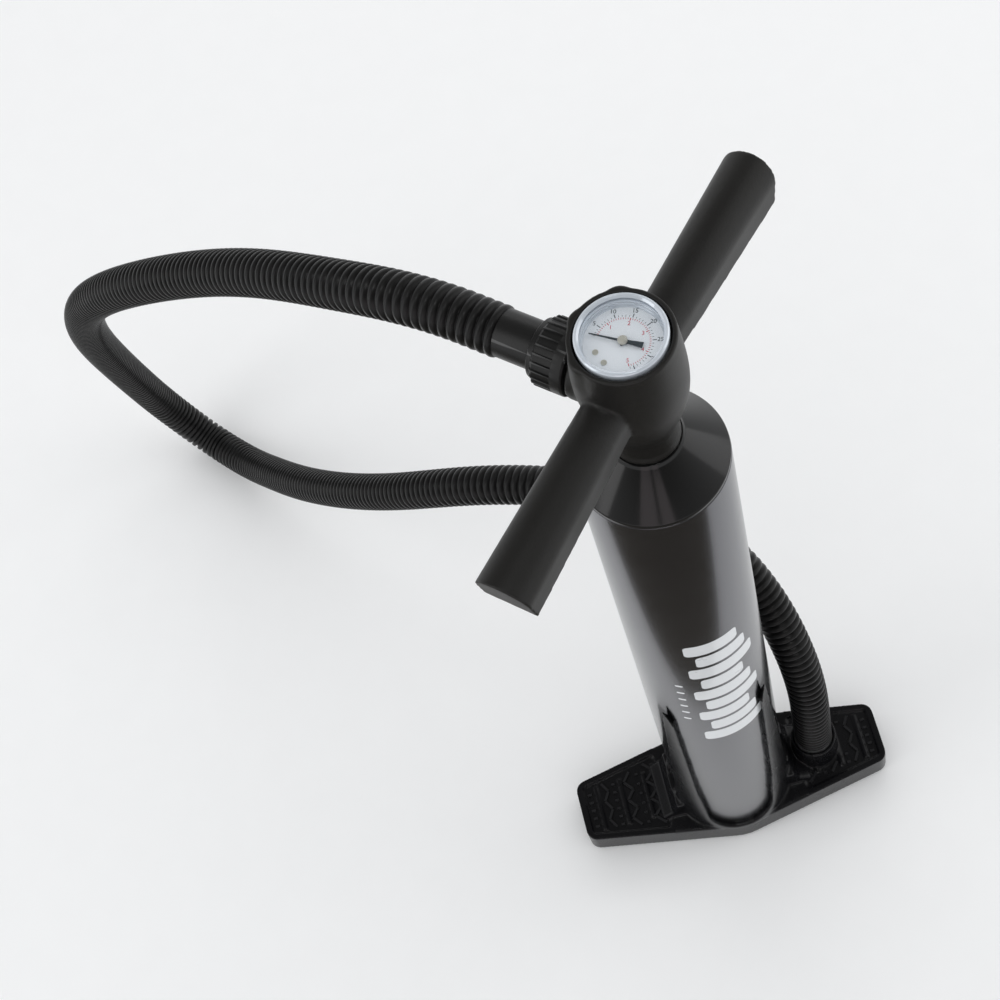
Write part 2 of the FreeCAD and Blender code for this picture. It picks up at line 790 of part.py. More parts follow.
def gauge_needle():
    """Pointer with a broad counterweight tail, on its arbor, and the cap over it."""
    body = new_body("gauge_needle")
    sketch = new_sketch(body, "pointer", "XY_Plane", "dial_height + 1.6")
    outline(sketch, [
        ("-needle_tail", -1.5),
        (-2.4, -0.9),
        (0, -2.7),
        (2.4, -0.5),
        ("needle_reach", -0.2),
        ("needle_reach", 0.2),
        (2.4, 0.5),
        (0, 2.7),
        (-2.4, 0.9),
        ("-needle_tail", 1.5),
    ])
    pad(body, sketch, 0.5)
    disc_pad(body, "arbor", [(0, 0)], 0.9, "dial_height - 5.4", "dial_height + 1.8")
    body.Placement = Placement(Vector(), Rotation(Vector(0, 0, 1), size("needle_turn")))
    turned("needle_cap", [
        (0, "dial_height + 2.1"),
        (2.3, "dial_height + 2.1"),
        (2.3, "dial_height + 3"),
        (1.6, "dial_height + 3.8"),
        (0, "dial_height + 4"),
    ])


# ---------------------------------------------------------------- hose and fittings

def union_nut():
    """Nut that clamps the hose's cuff to the port."""
    on_port(turned("union_nut", [
        ("thread_radius + 0.1", "nut_base"),
        (17.8, "nut_base"),
        (17.8, "nut_end - 4.5"),
        (15.4, "nut_end - 3"),
        (15.1, "nut_end - 0.6"),
        (14.4, "nut_end"),
        ("cuff_radius + 0.1", "nut_end"),
        ("cuff_radius + 0.1", "nut_end - 3.4"),
        ("thread_radius + 0.1", "nut_end - 3.4"),
    ]))


def hose_top_cuff():
    """Smooth cuff between the union nut and the hose, with its sealing washer."""
    on_port(ring("port_washer", 8.5, "thread_radius - 0.1", "port_end", "port_end + 1"))
    spigot = "hose_radius - hose_wall - 0.15"
    on_port(turned("hose_top_cuff", [
        (8.5, "port_end + 1"),
        ("thread_radius", "port_end + 1"),
        ("thread_radius", "nut_end - 3.5"),
        ("cuff_radius", "nut_end - 3.5"),
        ("cuff_radius", "cuff_end"),
        (spigot, "cuff_end"),
        (spigot, "cuff_end + 13"),
        (8.5, "cuff_end + 13"),
    ]))


def parked(piece):
    """Stands a piece drawn about Z in the parking cup."""
    piece.Placement = Placement(Vector(size("cup_across"), size("cup_back"), 0), Rotation())
    return piece


def hose_tail():
    """Cuff at the hose's far end and the nozzle pressed into it, parked in the cup."""
    spigot = "hose_radius - hose_wall - 0.15"
    parked(turned("hose_tail_cuff", [
        (10.05, 26),
        ("hose_radius", 26),
        ("hose_radius", "hose_end"),
        (spigot, "hose_end"),
        (spigot, "hose_end + 13"),
        (10.05, "hose_end + 13"),
    ]))
    parked(turned("nozzle", [
        (5, 10),
        (7.2, 10),
        (9, 24),
        (12.6, 24),
        (12.6, 26),
        (10, 26),
        (10, 44),
        (8, 44),
        (8, 26),
        (6.4, 22),
    ]))


def hose():
    """Corrugated hose, drawn as a plain tube along its hanging loop.

    It leaves the port, hangs down to rest on the floor behind the foot plate, rises behind the
    barrel and drops into the parking cup.
    """
    turn = math.radians(size("handle_turn") + 90)
    leaving = Vector(math.cos(turn), math.sin(turn), 0)
    port = leaving * size("cuff_end") + Vector(0, 0, size("port_height"))
    cup = Vector(size("cup_across"), size("cup_back"), size("hose_end"))
    route = [
        port,
        port + leaving * 7,
        port + leaving * 14,
        port + leaving * 21,
        Vector(-95, 86, 591),
        Vector(-126, 116, 574),
        Vector(-168, 159, 543),
        Vector(-215, 204, 501),
        Vector(-265, 246, 453),
        Vector(-312, 292, 386),
        Vector(-340, 334, 303),
        Vector(-355, 376, 205),
        Vector(-361, 410, 108),
        Vector(-353, 417, 45),
        Vector(-334, 401, 17.5),
        Vector(-311, 373, 20),
        Vector(-284, 335, 50),
        Vector(-253, 291, 95),
        Vector(-213, 245, 145),
        Vector(-160, 198, 202),
        Vector(-108, 165, 241),
        Vector(-52, 136, 258),
        Vector(4, 102, 253),
        Vector(42, 62, 222),
        Vector(60, 26, 172),
        Vector(64.5, 7, 120),
        cup + Vector(0, 0, 30),
        cup + Vector(0, 0, 21),
        cup + Vector(0, 0, 14),
        cup + Vector(0, 0, 7),
        cup,
    ]
    curve = Part.BSplineCurve()
    curve.interpolate(Points=route)
    outside, inside = (
        Part.Face(Part.Wire([Part.makeCircle(size(radius), port, leaving)]))
        for radius in ("hose_radius", "hose_radius - hose_wall")
    )
    section = outside.cut(inside).Faces[0]
    tube = doc.addObject("Part::Feature", "hose")
    tube.Shape = Part.Wire([curve.toShape()]).makePipe(section)


foot_plate()
base_pad()
barrel()
barrel_plug()
plug_screws()
top_cap()
rod_bushing()
piston_rod()
piston()
valves()
handle_housing()
for grip_side, grip_name in ((-1, "left"), (1, "right")):
    grip_cover(grip_side, grip_name)
grip_screws()
gauge()
union_nut()
hose_top_cuff()
hose_tail()
hose()
doc.recompute()

os.makedirs("parts", exist_ok=True)
kinds = ("PartDesign::Body", "Part::Torus", "Part::Feature")
pieces = [item for item in doc.Objects if item.TypeId in kinds]
for item in doc.Objects:
    if "Invalid" in item.State or "Error" in item.State:
        raise RuntimeError(f"{item.Label} failed to build")
for piece in pieces:
    if piece.Shape.isNull() or not piece.Shape.isValid():
        raise RuntimeError(f"{piece.Label} has no valid shape")
for piece in pieces:
    piece.Shape.exportStep(os.path.join("parts", f"{piece.Label}.step"))
print(f"{len(pieces)} pieces written")
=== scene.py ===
import json
import math

import bpy
import numpy as np
from mathutils import Matrix, Vector


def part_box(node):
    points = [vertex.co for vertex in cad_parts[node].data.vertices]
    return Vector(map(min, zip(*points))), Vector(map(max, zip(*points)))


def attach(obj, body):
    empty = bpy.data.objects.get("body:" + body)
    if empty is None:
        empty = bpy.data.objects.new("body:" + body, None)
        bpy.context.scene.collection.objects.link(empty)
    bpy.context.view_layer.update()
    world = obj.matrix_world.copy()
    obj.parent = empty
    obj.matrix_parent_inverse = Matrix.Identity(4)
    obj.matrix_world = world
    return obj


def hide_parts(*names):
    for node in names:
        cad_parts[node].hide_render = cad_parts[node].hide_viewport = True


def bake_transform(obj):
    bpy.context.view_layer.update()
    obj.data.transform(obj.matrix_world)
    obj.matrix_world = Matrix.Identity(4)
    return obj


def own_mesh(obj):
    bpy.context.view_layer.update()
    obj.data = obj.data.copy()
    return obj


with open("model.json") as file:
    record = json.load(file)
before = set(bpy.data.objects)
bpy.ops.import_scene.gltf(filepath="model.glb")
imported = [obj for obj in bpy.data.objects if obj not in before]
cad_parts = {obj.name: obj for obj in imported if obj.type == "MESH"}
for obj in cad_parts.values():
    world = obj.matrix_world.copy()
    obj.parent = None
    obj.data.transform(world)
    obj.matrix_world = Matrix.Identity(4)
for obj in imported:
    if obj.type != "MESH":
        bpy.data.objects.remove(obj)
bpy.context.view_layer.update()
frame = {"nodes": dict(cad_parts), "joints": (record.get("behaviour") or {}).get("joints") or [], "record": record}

# Lengths are in mm and angles in degrees unless a name or a comment says otherwise. The row frame
# is in metres, Z up, with the pump's axis on Z.

MM = 0.001

joints = {joint["name"]: joint for joint in frame["joints"]}
PORT = Vector(joints["nut_turn"]["axis"]).normalized()
GRIP = Vector((PORT.y, -PORT.x, 0))
PORT_HEIGHT = joints["nut_turn"]["pos_m"][2] / MM
BARREL_RADIUS = 40.0


def top_of(node):
    """Height of the highest point of a CAD node."""
    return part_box(node)[1].z / MM


def base_of(node):
    """Height of the lowest point of a CAD node."""
    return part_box(node)[0].z / MM


# ---------------------------------------------------------------- materials

DRIFT_SCALE = 35.0
DRIFT_DETAIL = 5.0
GRAIN_DETAIL = 3.0
GRAIN_DEPTH_M = 0.0004
SMOOTHEST = 0.02
COAT_ROUGHNESS = 0.06
# The pointiness at which an edge starts to lighten, and at which it is fully light; the lightening is partly wear
# and partly a painted highlight.
WEAR_AND_HIGHLIGHT_STARTS = 0.53
WEAR_AND_HIGHLIGHT_FULL = 0.62
WORN_AND_LIT_GAIN = 2.5
WORN_AND_LIT_LIFT = 0.06
GLASS_TINT = (0.98, 0.985, 0.99, 1)
GLASS_ROUGHNESS = 0.03
SMUDGE_SCALE = 60.0
SMUDGE_DETAIL = 4.0
FILM_THIN = 0.03
FILM_THICK = 0.08


def add_node(tree, kind, **values):
    """A shader node with its properties and inputs set by name."""
    node = tree.nodes.new(kind)
    for key, value in values.items():
        if key in node.inputs:
            node.inputs[key].default_value = value
        else:
            setattr(node, key, value)
    return node


def surface(name, colour, roughness, metallic=0.0, coat=0.0, grain=900, bump=0.12, spread=0.08,
            wear_and_highlight=0.0, tint=0.15, shine=0.5):
    """Moulded or painted surface: fine grain, uneven gloss, slight colour drift, and edges lightened by
    pointiness, partly as wear and partly as a painted highlight.
    """
    material = bpy.data.materials.new(name)
    material.use_nodes = True
    tree = material.node_tree
    link = tree.links.new
    shader = tree.nodes["Principled BSDF"]
    shader.inputs["Metallic"].default_value = metallic
    shader.inputs["Specular IOR Level"].default_value = shine
    shader.inputs["Coat Weight"].default_value = coat
    shader.inputs["Coat Roughness"].default_value = COAT_ROUGHNESS
    spot = add_node(tree, "ShaderNodeTexCoord")
    drift = add_node(tree, "ShaderNodeTexNoise", Scale=DRIFT_SCALE, Detail=DRIFT_DETAIL)
    fine = add_node(tree, "ShaderNodeTexNoise", Scale=float(grain), Detail=GRAIN_DETAIL)
    link(spot.outputs["Object"], drift.inputs["Vector"])
    link(spot.outputs["Object"], fine.inputs["Vector"])
    gloss = tree.nodes.new("ShaderNodeMapRange")
    gloss.inputs["To Min"].default_value = max(roughness - spread, SMOOTHEST)
    gloss.inputs["To Max"].default_value = roughness + spread
    link(drift.outputs["Fac"], gloss.inputs["Value"])
    link(gloss.outputs["Result"], shader.inputs["Roughness"])
    relief = add_node(tree, "ShaderNodeBump", Strength=bump, Distance=GRAIN_DEPTH_M)
    link(fine.outputs["Fac"], relief.inputs["Height"])
    link(relief.outputs["Normal"], shader.inputs["Normal"])
    shade = tree.nodes.new("ShaderNodeMix")
    shade.data_type = "RGBA"
    shade.inputs["A"].default_value = (*[value * (1 - tint) for value in colour], 1)
    shade.inputs["B"].default_value = (*[min(value * (1 + tint), 1) for value in colour], 1)
    link(drift.outputs["Fac"], shade.inputs["Factor"])
    # Edges are lightened by pointiness: partly wear, partly a painted highlight where rims and ridges catch the
    # light.
    geometry = add_node(tree, "ShaderNodeNewGeometry")
    edge = tree.nodes.new("ShaderNodeMapRange")
    edge.inputs["From Min"].default_value = WEAR_AND_HIGHLIGHT_STARTS
    edge.inputs["From Max"].default_value = WEAR_AND_HIGHLIGHT_FULL
    edge.inputs["To Max"].default_value = wear_and_highlight
    link(geometry.outputs["Pointiness"], edge.inputs["Value"])
    worn_and_lit = tree.nodes.new("ShaderNodeMix")
    worn_and_lit.data_type = "RGBA"
    worn_and_lit_colour = [min(value * WORN_AND_LIT_GAIN + WORN_AND_LIT_LIFT, 1) for value in colour]
    worn_and_lit.inputs["B"].default_value = (*worn_and_lit_colour, 1)
    link(edge.outputs["Result"], worn_and_lit.inputs["Factor"])
    link(shade.outputs["Result"], worn_and_lit.inputs["A"])
    link(worn_and_lit.outputs["Result"], shader.inputs["Base Color"])
    return material


def glass(name):
    """Clear window that lets the dial show through with a faint reflection."""
    material = bpy.data.materials.new(name)
    material.use_nodes = True
    tree = material.node_tree
    tree.nodes.remove(tree.nodes["Principled BSDF"])
    clear = add_node(tree, "ShaderNodeBsdfTransparent", Color=GLASS_TINT)
    shine = add_node(tree, "ShaderNodeBsdfGlossy", Roughness=GLASS_ROUGHNESS)
    smudge = add_node(tree, "ShaderNodeTexNoise", Scale=SMUDGE_SCALE, Detail=SMUDGE_DETAIL)
    film = tree.nodes.new("ShaderNodeMapRange")
    film.inputs["To Min"].default_value = FILM_THIN
    film.inputs["To Max"].default_value = FILM_THICK
    mix = tree.nodes.new("ShaderNodeMixShader")
    link = tree.links.new
    link(smudge.outputs["Fac"], film.inputs["Value"])
    link(film.outputs["Result"], mix.inputs["Fac"])
    link(clear.outputs["BSDF"], mix.inputs[1])
    link(shine.outputs["BSDF"], mix.inputs[2])
    link(mix.outputs["Shader"], tree.nodes["Material Output"].inputs["Surface"])
    return material


LOOK = {
    "plate_plastic": surface("plate_plastic", (0.006, 0.006, 0.007), 0.26, bump=0.08, wear_and_highlight=0.15,
                             shine=0.28),
    "pad_rubber": surface("pad_rubber", (0.02, 0.02, 0.02), 0.75, grain=500, bump=0.4),
    "barrel_paint": surface("barrel_paint", (0.122, 0.123, 0.135), 0.19, metallic=1.0, coat=0.25,
                            grain=2600, bump=0.04, spread=0.03, tint=0.05),
    "cap_plastic": surface("cap_plastic", (0.007, 0.007, 0.007), 0.14, bump=0.03, spread=0.05,
                           wear_and_highlight=0.2, shine=0.4),
    "seal_rubber": surface("seal_rubber", (0.02, 0.02, 0.02), 0.6, bump=0.3),
    "screw_steel": surface("screw_steel", (0.55, 0.55, 0.56), 0.3, metallic=1.0, bump=0.05),
    "bushing_plastic": surface("bushing_plastic", (0.03, 0.03, 0.03), 0.4),
    "hose_plastic": surface("hose_plastic", (0.006, 0.006, 0.006), 0.33, bump=0.08, wear_and_highlight=0.25,
                            shine=0.25),
    "rod_aluminium": surface("rod_aluminium", (0.7, 0.7, 0.71), 0.25, metallic=1.0, bump=0.04,
                             grain=1500),
    "handle_plastic": surface("handle_plastic", (0.010, 0.0095, 0.0085), 0.45, grain=1400, bump=0.22,
                              wear_and_highlight=0.5, shine=0.4),
    "gauge_steel": surface("gauge_steel", (0.62, 0.64, 0.65), 0.28, metallic=0.9, bump=0.03),
    "gauge_brass": surface("gauge_brass", (0.62, 0.60, 0.52), 0.28, metallic=0.3, bump=0.04),
    "dial_white": surface("dial_white", (0.93, 0.955, 0.98), 0.5, bump=0.02, tint=0.02),
    "gauge_window": glass("gauge_window"),
    "bezel_chrome": surface("bezel_chrome", (0.66, 0.71, 0.77), 0.12, metallic=0.25, bump=0.02,
                            coat=0.7, tint=0.1),
    # The strong edge lightening here is a painted highlight on the edges of the nut's ribs.
    "fitting_plastic": surface("fitting_plastic", (0.009, 0.009, 0.009), 0.38, grain=1200,
                               bump=0.15, wear_and_highlight=1.6, shine=0.4),
    "needle_black": surface("needle_black", (0.035, 0.05, 0.06), 0.4, bump=0.02),
    "dial_ink": surface("dial_ink", (0.03, 0.05, 0.06), 0.5, bump=0.02),
    "dial_red": surface("dial_red", (0.62, 0.06, 0.10), 0.5, bump=0.02),
    "barrel_ink": surface("barrel_ink", (0.78, 0.8, 0.82), 0.3, coat=0.5, bump=0.05, tint=0.03),
}
SLOTS = {part["node"]: part["material_slot"] for part in frame["record"]["subparts"]}


# ---------------------------------------------------------------- mesh helpers

LATHE_SIDES = 128
SMOOTHING = 0.5
SOFT_PASSES = 30


def within(value, span):
    """Whether a value lies between the two ends of a span."""
    return span[0] < value < span[1]


def make_piece(name, points, faces, body, look, node=None, sharp=35):
    """A mesh piece in metres that rides on a body; node is the CAD node that it stands for."""
    mesh = bpy.data.meshes.new(name)
    mesh.from_pydata([tuple(point) for point in points], [], faces)
    mesh.validate()
    mesh.polygons.foreach_set("use_smooth", [True] * len(mesh.polygons))
    mesh.set_sharp_from_angle(angle=math.radians(sharp))
    mesh.materials.append(LOOK[look])
    piece = bpy.data.objects.new(name, mesh)
    bpy.context.scene.collection.objects.link(piece)
    if body:
        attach(piece, body)
    if node:
        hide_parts(node)
    return piece


def rounded(profile, arc_steps=5):
    """Profile points in mm; a point with a third number gets a rounded corner of that radius."""
    result = []
    count = len(profile)
    for index, point in enumerate(profile):
        corner = Vector(point[:2])
        if len(point) < 3:
            result.append(tuple(corner))
            continue
        before = (Vector(profile[index - 1][:2]) - corner).normalized()
        after = (Vector(profile[(index + 1) % count][:2]) - corner).normalized()
        half = before.angle(after) / 2
        middle = corner + (before + after).normalized() * point[2] / math.sin(half)
        reach = point[2] / math.tan(half)
        start = corner + before * reach - middle
        turn = start.angle_signed(corner + after * reach - middle)
        for step in range(arc_steps + 1):
            angle = -turn * step / arc_steps
            spoke = Matrix.Rotation(angle, 2) @ start
            result.append(tuple(middle + spoke))
    return result


def lathe(name, profile, body, look, node=None, along=None, segments=LATHE_SIDES,
          ripple=None):
    """Turned piece about Z, or about the hose port when along is "port".

    The profile's points are (radius, height) or (radius, height, corner radius), and
    ripple(angle, radius, height) may change a point's radius.
    """
    ring_points = rounded(profile)
    points = []
    for radius, height in ring_points:
        for step in range(segments):
            angle = 2 * math.pi * step / segments
            reach = ripple(angle, radius, height) if ripple else radius
            across = Vector((reach * math.cos(angle), reach * math.sin(angle), height))
            points.append(place(across, along))
    return make_piece(name, points, ring_faces(len(ring_points), segments), body, look, node)


def ring_faces(rings, sides, closed=True):
    """Faces between neighbouring rings of points; closed joins the last ring to the first."""
    faces = []
    for ring in range(rings if closed else rings - 1):
        following = (ring + 1) % rings
        for step in range(sides):
            beside = (step + 1) % sides
            faces.append((ring * sides + step, ring * sides + beside,
                          following * sides + beside, following * sides + step))
    return faces


def place(point, along):
    """A lathe point in mm, moved to the row frame in metres."""
    if along == "port":
        sideways = Vector((0, 0, -1))
        spot = PORT * point.z + GRIP * point.x + sideways * point.y
        return (spot + Vector((0, 0, PORT_HEIGHT))) * MM
    return point * MM


def settled(piece, *modifiers):
    """The piece's mesh with modifiers applied; each is (kind, {property: value})."""
    for kind, values in modifiers:
        modifier = piece.modifiers.new(kind.lower(), kind)
        for key, value in values.items():
            setattr(modifier, key, value)
    graph = bpy.context.evaluated_depsgraph_get()
    graph.update()
    mesh = bpy.data.meshes.new_from_object(piece.evaluated_get(graph))
    piece.modifiers.clear()
    piece.data = mesh
    mesh.polygons.foreach_set("use_smooth", [True] * len(mesh.polygons))
    return piece


def moulded(name, node, extra, voxel, passes, body, look, keep, soften, shift=None):
    """A CAD node and extra solids melted into one moulding with small soft edges.

    shift moves a point of the CAD shape's copy first; soften gives a point's extra softening,
    from 0 to 1; keep is the share of faces kept.
    """
    mesh = frame["nodes"][node].data
    points = [shift(vertex.co / MM) * MM if shift else vertex.co.copy() for vertex in mesh.vertices]
    faces = [list(face.vertices) for face in mesh.polygons]
    for more_points, more_faces in extra:
        first = len(points)
        points.extend(more_points)
        faces.extend([first + index for index in face] for face in more_faces)
    piece = make_piece(name, points, faces, None, look)
    settled(
        piece,
        ("REMESH", {"mode": "VOXEL", "voxel_size": voxel * MM, "use_smooth_shade": True}),
        ("SMOOTH", {"factor": SMOOTHING, "iterations": passes}),
    )
    group = piece.vertex_groups.new(name="soften")
    for vertex in piece.data.vertices:
        strength = soften(vertex.co / MM)
        if strength > 0:
            group.add([vertex.index], strength, "REPLACE")
    settled(piece, ("SMOOTH", {"factor": SMOOTHING, "iterations": SOFT_PASSES,
                               "vertex_group": "soften"}))
    piece.vertex_groups.clear()
    settled(piece, ("DECIMATE", {"ratio": keep}))
    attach(piece, body)
    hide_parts(node)


# ---------------------------------------------------------------- hose

HOSE_RADIUS = 13.35
HOSE_PITCH = 5.15
# The rings of one rib: the share of the pitch, and the depth below the crest.
HOSE_RIB = ((0.0, 2.1), (0.11, 1.8), (0.22, 0.3), (0.5, 0.0), (0.78, 0.3), (0.89, 1.8))
HOSE_SIDES = 36
SPLINE_SAMPLES = 4000
# Both ends leave their fitting straight: where they start, and the steps of the straight stretch.
CUFF_END = 70.0
HOSE_END = 50.0
STRAIGHT_STEP = 7.0
ABOVE_CUP = 30.0
# The upper stretch ends this far along the hose, where the middle one starts.
UPPER_LENGTH = 340.0


def hose_route():
    """Centre line of the hose in mm, from the port round the loop to the parking cup."""
    port = PORT * CUFF_END + Vector((0, 0, PORT_HEIGHT))
    low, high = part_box("nozzle")
    cup = Vector(((low.x + high.x) / 2 / MM, (low.y + high.y) / 2 / MM, HOSE_END))
    above = Vector((0, 0, 1))
    route = [
        *[port + PORT * STRAIGHT_STEP * step for step in (0, 1, 2, 3)],
        (-95, 86, 591),
        (-126, 116, 574),
        (-168, 159, 543),
        (-215, 204, 501),
        (-265, 246, 453),
        (-312, 292, 386),
        (-340, 334, 303),
        (-355, 376, 205),
        (-361, 410, 108),
        (-353, 417, 45),
        (-334, 401, 17.5),
        (-311, 373, 20),
        (-284, 335, 50),
        (-253, 291, 95),
        (-213, 245, 145),
        (-160, 198, 202),
        (-108, 165, 241),
        (-52, 136, 258),
        (4, 102, 253),
        (42, 62, 222),
        (60, 26, 172),
        (64.5, 7, 120),
        cup + above * ABOVE_CUP,
        *[cup + above * STRAIGHT_STEP * step for step in (3, 2, 1, 0)],
    ]
    return np.array([tuple(point) for point in route], float)


def natural_spline(points):
    """Smooth curve through the points: its samples and their distances along it."""
    chord = np.r_[0, np.cumsum(np.linalg.norm(np.diff(points, axis=0), axis=1))]
    gap = np.diff(chord)
    count = len(points)
    matrix = np.zeros((count, count))
    right = np.zeros((count, points.shape[1]))
    matrix[0, 0] = matrix[-1, -1] = 1
    for row in range(1, count - 1):
        matrix[row, row - 1:row + 2] = gap[row - 1], 2 * (gap[row - 1] + gap[row]), gap[row]
        slopes = np.diff(points[row - 1:row + 2], axis=0) / gap[row - 1:row + 1, None]
        right[row] = 6 * (slopes[1] - slopes[0])
    bend = np.linalg.solve(matrix, right)
    distance = np.linspace(0, chord[-1], SPLINE_SAMPLES)
    span = np.clip(np.searchsorted(chord, distance, side="right") - 1, 0, count - 2)
    width = gap[span][:, None]
    after = ((distance - chord[span]) / gap[span])[:, None]
    before = 1 - after
    curve = before * points[span] + after * points[span + 1]
    curve += width ** 2 / 6 * ((before ** 3 - before) * bend[span]
                               + (after ** 3 - after) * bend[span + 1])
    length = np.r_[0, np.cumsum(np.linalg.norm(np.diff(curve, axis=0), axis=1))]
    return curve, length


def on_curve(curve, length, wanted):
    """Points of a sampled curve at the wanted distances along it."""
    axes = [np.interp(wanted, length, curve[:, axis]) for axis in range(curve.shape[1])]
    return np.stack(axes, 1)


def hose_frames(centre):
    """Sideways directions along the curve that turn with it and don't twist."""
    tangent = np.gradient(centre, axis=0)
    tangent /= np.linalg.norm(tangent, axis=1)[:, None]
    side = np.zeros_like(tangent)
    side[0] = np.cross(tangent[0], (0, 0, 1))
    for index in range(1, len(centre)):
        carried = side[index - 1] - tangent[index] * (side[index - 1] @ tangent[index])
        side[index] = carried / np.linalg.norm(carried)
    side[0] /= np.linalg.norm(side[0])
    return side, np.cross(tangent, side)


def hose_piece(name, centre, side, up, first, last):
    """One stretch of the corrugated hose between two rings: flat crests and narrow valleys."""
    points = []
    for index in range(first, last + 1):
        radius = HOSE_RADIUS - HOSE_RIB[index % len(HOSE_RIB)][1]
        for step in range(HOSE_SIDES):
            angle = 2 * math.pi * step / HOSE_SIDES
            spoke = math.cos(angle) * side[index] + math.sin(angle) * up[index]
            points.append((centre[index] + radius * spoke) * MM)
    faces = ring_faces(last - first + 1, HOSE_SIDES, closed=False)
    return make_piece(name, points, faces, None, "hose_plastic", node="hose", sharp=180)


def build_hose():
    """Hose in three stretches, split at a set length and at its lowest point."""
    curve, length = natural_spline(hose_route())
    ribs = int(length[-1] / HOSE_PITCH)
    pitch = length[-1] / ribs
    along = np.array([(rib + phase) * pitch for rib in range(ribs) for phase, _ in HOSE_RIB])
    along = np.r_[along, length[-1]]
    centre = on_curve(curve, length, along)
    side, up = hose_frames(centre)
    last = len(centre) - 1
    seam = int(np.searchsorted(along, UPPER_LENGTH))
    lowest = int(np.argmin(centre[:, 2]))
    upper = hose_piece("hose_upper", centre, side, up, 0, seam)
    middle = hose_piece("hose_middle", centre, side, up, seam, lowest)
    tail = hose_piece("hose_tail", centre, side, up, lowest, last)
    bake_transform(upper)
    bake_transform(middle)
    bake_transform(tail)


# ---------------------------------------------------------------- studio

# Places and lengths in this section are in metres, and the camera's roll is in radians.
CAMERA_PLACE = Vector((-0.0198, -0.4567, 1.3779))
CAMERA_TARGET = Vector((-0.1024, 0.1861, 0.1740))
CAMERA_ROLL = -0.3942
CAMERA_LENS_MM = 69.95
CAMERA_SENSOR_MM = 36

FLOOR_REACH = 40.0
FLOOR_PAPER = (0.93, 0.93, 0.93)
# The world's colours: for the camera, for soft light, and for reflections near the horizon and above.
WORLD_SEEN = (0.93, 0.93, 0.94, 1)
WORLD_LIGHT = (0.80, 0.81, 0.82, 1)
WORLD_NEAR_HORIZON = (0.75, 0.75, 0.76, 1)
WORLD_ABOVE = (0.12, 0.117, 0.11, 1)
# How high, as the upward share of a direction, the reflected world starts and stops growing dim.
DIM_STARTS = 0.12
DIM_IS_FULL = 0.42

DARK_EDGE_LEFT = Vector((-1.5, 0.295, 0.0008))
DARK_EDGE_RIGHT = Vector((1.5, -0.605, 0.0008))
DARK_EDGE_TO_FAR_SIDE = Vector((-0.43, -1.44, 0))
DARK_BRIGHTNESS = 0.12
WARM_GREY = (1.0, 0.92, 0.8)
FRONT_CARDS = {"front_card": (-122, -102), "front_strip": (-98, -84)}
FRONT_DISTANCE = 1.6
FRONT_LOW = 0.35
FRONT_HIGH = 1.3
FRONT_BRIGHTNESS = 1.1
WARM_WHITE = (1.0, 0.9, 0.93)
TOP_CARD = [(-0.16, -0.52, 2.1), (0.16, -0.52, 2.1), (0.16, -0.3, 2.15), (-0.16, -0.3, 2.15)]
TOP_BRIGHTNESS = 9.0


def build_camera():
    """Camera high in front of the pump, looking down and tilted."""
    ahead = (CAMERA_TARGET - CAMERA_PLACE).normalized()
    right = ahead.cross(Vector((0, 0, 1))).normalized()
    above = right.cross(ahead)
    turned_right = math.cos(CAMERA_ROLL) * right + math.sin(CAMERA_ROLL) * above
    turned_above = -math.sin(CAMERA_ROLL) * right + math.cos(CAMERA_ROLL) * above
    data = bpy.data.cameras.new("camera")
    data.lens = CAMERA_LENS_MM
    data.sensor_width = CAMERA_SENSOR_MM
    camera = bpy.data.objects.new("camera", data)
    axes = Matrix((turned_right, turned_above, -ahead)).transposed()
    camera.matrix_world = Matrix.Translation(CAMERA_PLACE) @ axes.to_4x4()
    bpy.context.scene.collection.objects.link(camera)
    bpy.context.scene.camera = camera


def area_light(name, place_at, aim, size, power):
    """A soft rectangular lamp of a power in watts, turned towards a point."""
    data = bpy.data.lights.new(name, "AREA")
    data.shape = "RECTANGLE"
    data.size, data.size_y = size
    data.energy = power
    light = bpy.data.objects.new(name, data)
    light.location = place_at
    light.rotation_euler = (Vector(aim) - Vector(place_at)).to_track_quat("-Z", "Y").to_euler()
    bpy.context.scene.collection.objects.link(light)


def glossy_card(name, corners, brightness, tone=(1, 1, 1)):
    """A panel that only reflections see."""
    mesh = bpy.data.meshes.new(name)
    mesh.from_pydata(corners, [], [tuple(range(len(corners)))])
    card = bpy.data.objects.new(name, mesh)
    material = bpy.data.materials.new(name)
    material.use_nodes = True
    tree = material.node_tree
    tree.nodes.remove(tree.nodes["Principled BSDF"])
    glow = add_node(tree, "ShaderNodeEmission", Color=(*tone, 1), Strength=brightness)
    tree.links.new(glow.outputs["Emission"], tree.nodes["Material Output"].inputs["Surface"])
    mesh.materials.append(material)
    card.visible_camera = False
    card.visible_diffuse = False
    card.visible_shadow = False
    card.visible_transmission = False
    bpy.context.scene.collection.objects.link(card)


def round_pump(azimuth, distance, height):
    """A point at an azimuth in degrees and a distance from the pump's axis."""
    angle = math.radians(azimuth)
    return (distance * math.cos(angle), distance * math.sin(angle), height)


def build_floor():
    """Pale paper floor, far larger than the pump."""
    mesh = bpy.data.meshes.new("floor")
    corners = [(x * FLOOR_REACH, y * FLOOR_REACH, 0) for x, y in ((-1, -1), (1, -1), (1, 1), (-1, 1))]
    mesh.from_pydata(corners, [], [(0, 1, 2, 3)])
    floor = bpy.data.objects.new("floor", mesh)
    mesh.materials.append(surface("floor_paper", FLOOR_PAPER, 0.8, bump=0.02, tint=0.01))
    bpy.context.scene.collection.objects.link(floor)


